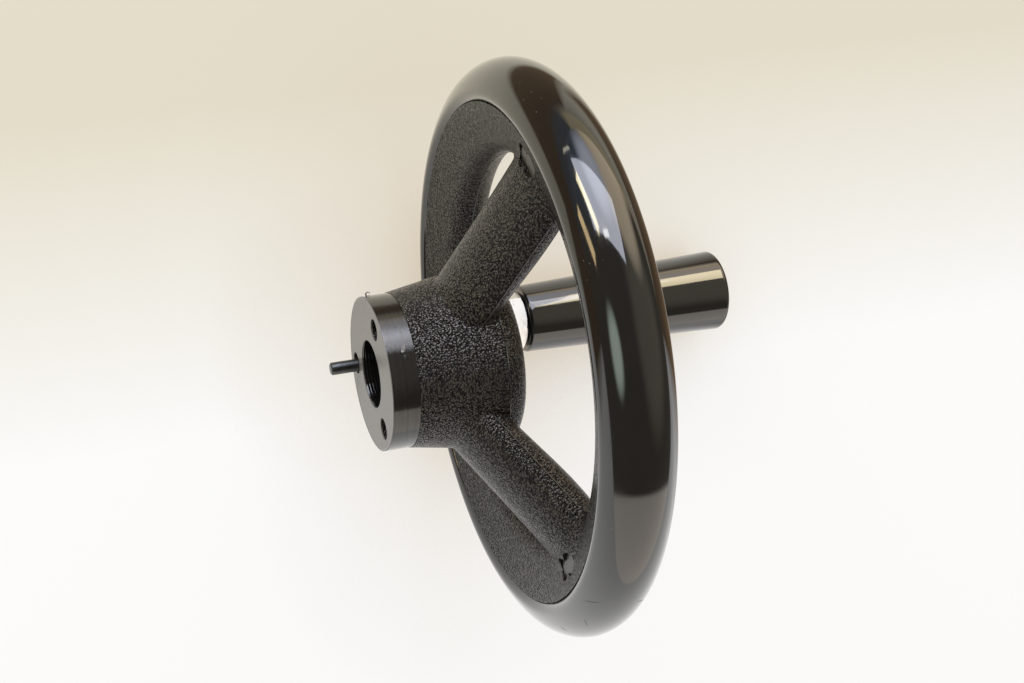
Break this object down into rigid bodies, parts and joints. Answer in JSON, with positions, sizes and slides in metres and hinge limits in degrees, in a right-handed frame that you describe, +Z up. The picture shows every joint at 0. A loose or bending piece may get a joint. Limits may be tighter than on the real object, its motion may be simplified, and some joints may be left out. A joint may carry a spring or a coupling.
{
  "type": "machine handwheel",
  "caption": "Dished spoked machine handwheel with a threaded hub, a drive pin in the hub face and a revolving tapered handle on the rim.",
  "frame": {"origin": "centre of the hub's machined face, on the axis of the wheel", "axes": "+Y along the wheel's axis, out of the hub face towards the machine; the handle points along -Y; +Z up, with a window between spokes at the top and the handle at the bottom; +X to the operator's right"},
  "size_m": [0.1818, 0.1613, 0.1818],
  "materials": {
    "moulded_black": "moulded leather grain, satin",
    "gloss_black": "glossy with fine wear",
    "grip_black": "glossy",
    "plated_steel": "bright zinc plated",
    "pin_steel": "ground, darkened",
    "spring_steel": "phosphated",
    "brass": "machined"
  },
  "bodies": {
    "wheel": {"wheel_core": "moulded_black", "rim": "gloss_black", "drive_pin": "pin_steel", "handle_insert": "brass", "handle_spindle": "plated_steel", "snap_ring": "spring_steel"},
    "grip": {"handle_grip": "grip_black"}
  },
  "joints": [
    {"name": "grip_spin", "type": "hinge", "parent": "wheel", "child": "grip", "pos_m": [-0.00184, -0.1137, -0.07548], "axis": [0, 1, 0], "continuous": true}
  ]
}
